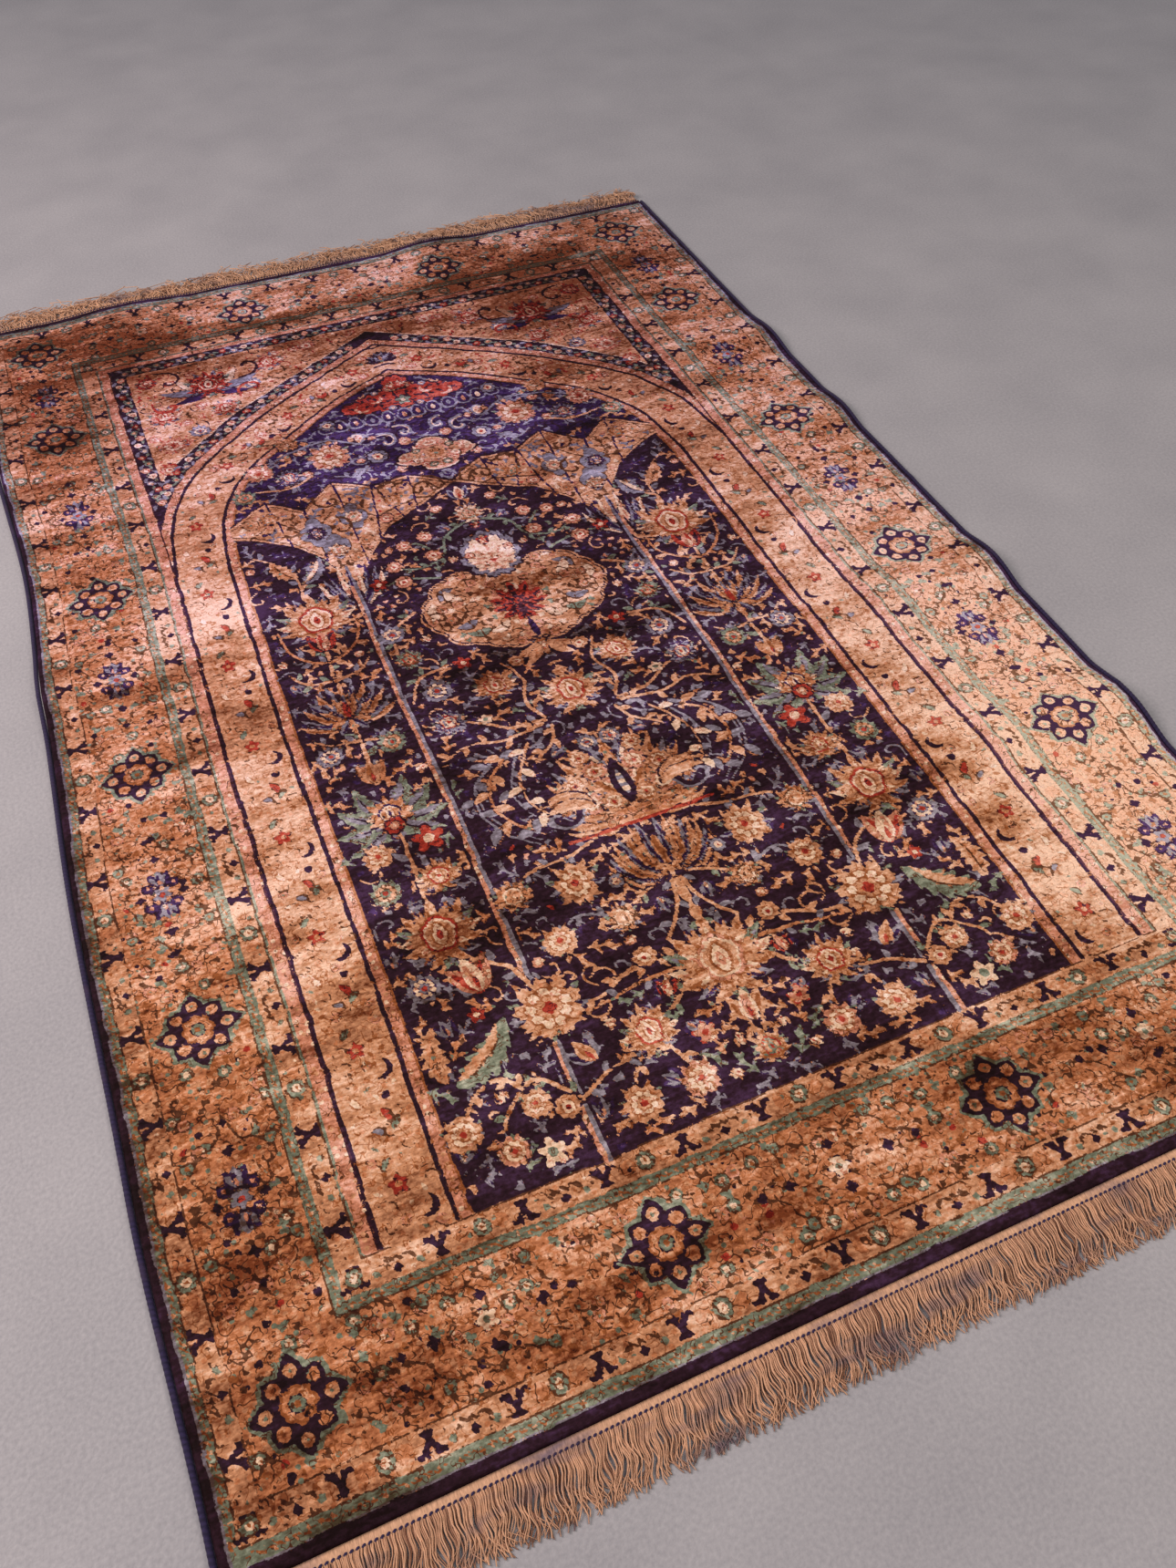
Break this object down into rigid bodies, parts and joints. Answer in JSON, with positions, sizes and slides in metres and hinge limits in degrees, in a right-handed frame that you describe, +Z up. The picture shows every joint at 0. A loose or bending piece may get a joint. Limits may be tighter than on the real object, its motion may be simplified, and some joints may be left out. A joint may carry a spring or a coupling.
{
  "type": "persian prayer rug",
  "caption": "Flat hand-knotted pile rug with an arched floral field, banded borders, overcast sides and fringed ends, lying with soft ripples.",
  "frame": {"origin": "on the floor, under the middle of the rug", "axes": "+Y along the rug to the end where the arch comes to its point, +X to the right, +Z up out of the pile"},
  "size_m": [1.214, 2.0394, 0.0188],
  "materials": {
    "pile": "short knotted pile, soft nap",
    "selvedge": "overcast yarn",
    "fringe": "flat weave and loose warp ends"
  },
  "bodies": {
    "root": {"pile": "pile", "selvedge_left": "selvedge", "selvedge_right": "selvedge", "fringe_near": "fringe", "fringe_far": "fringe"}
  },
  "joints": []
}
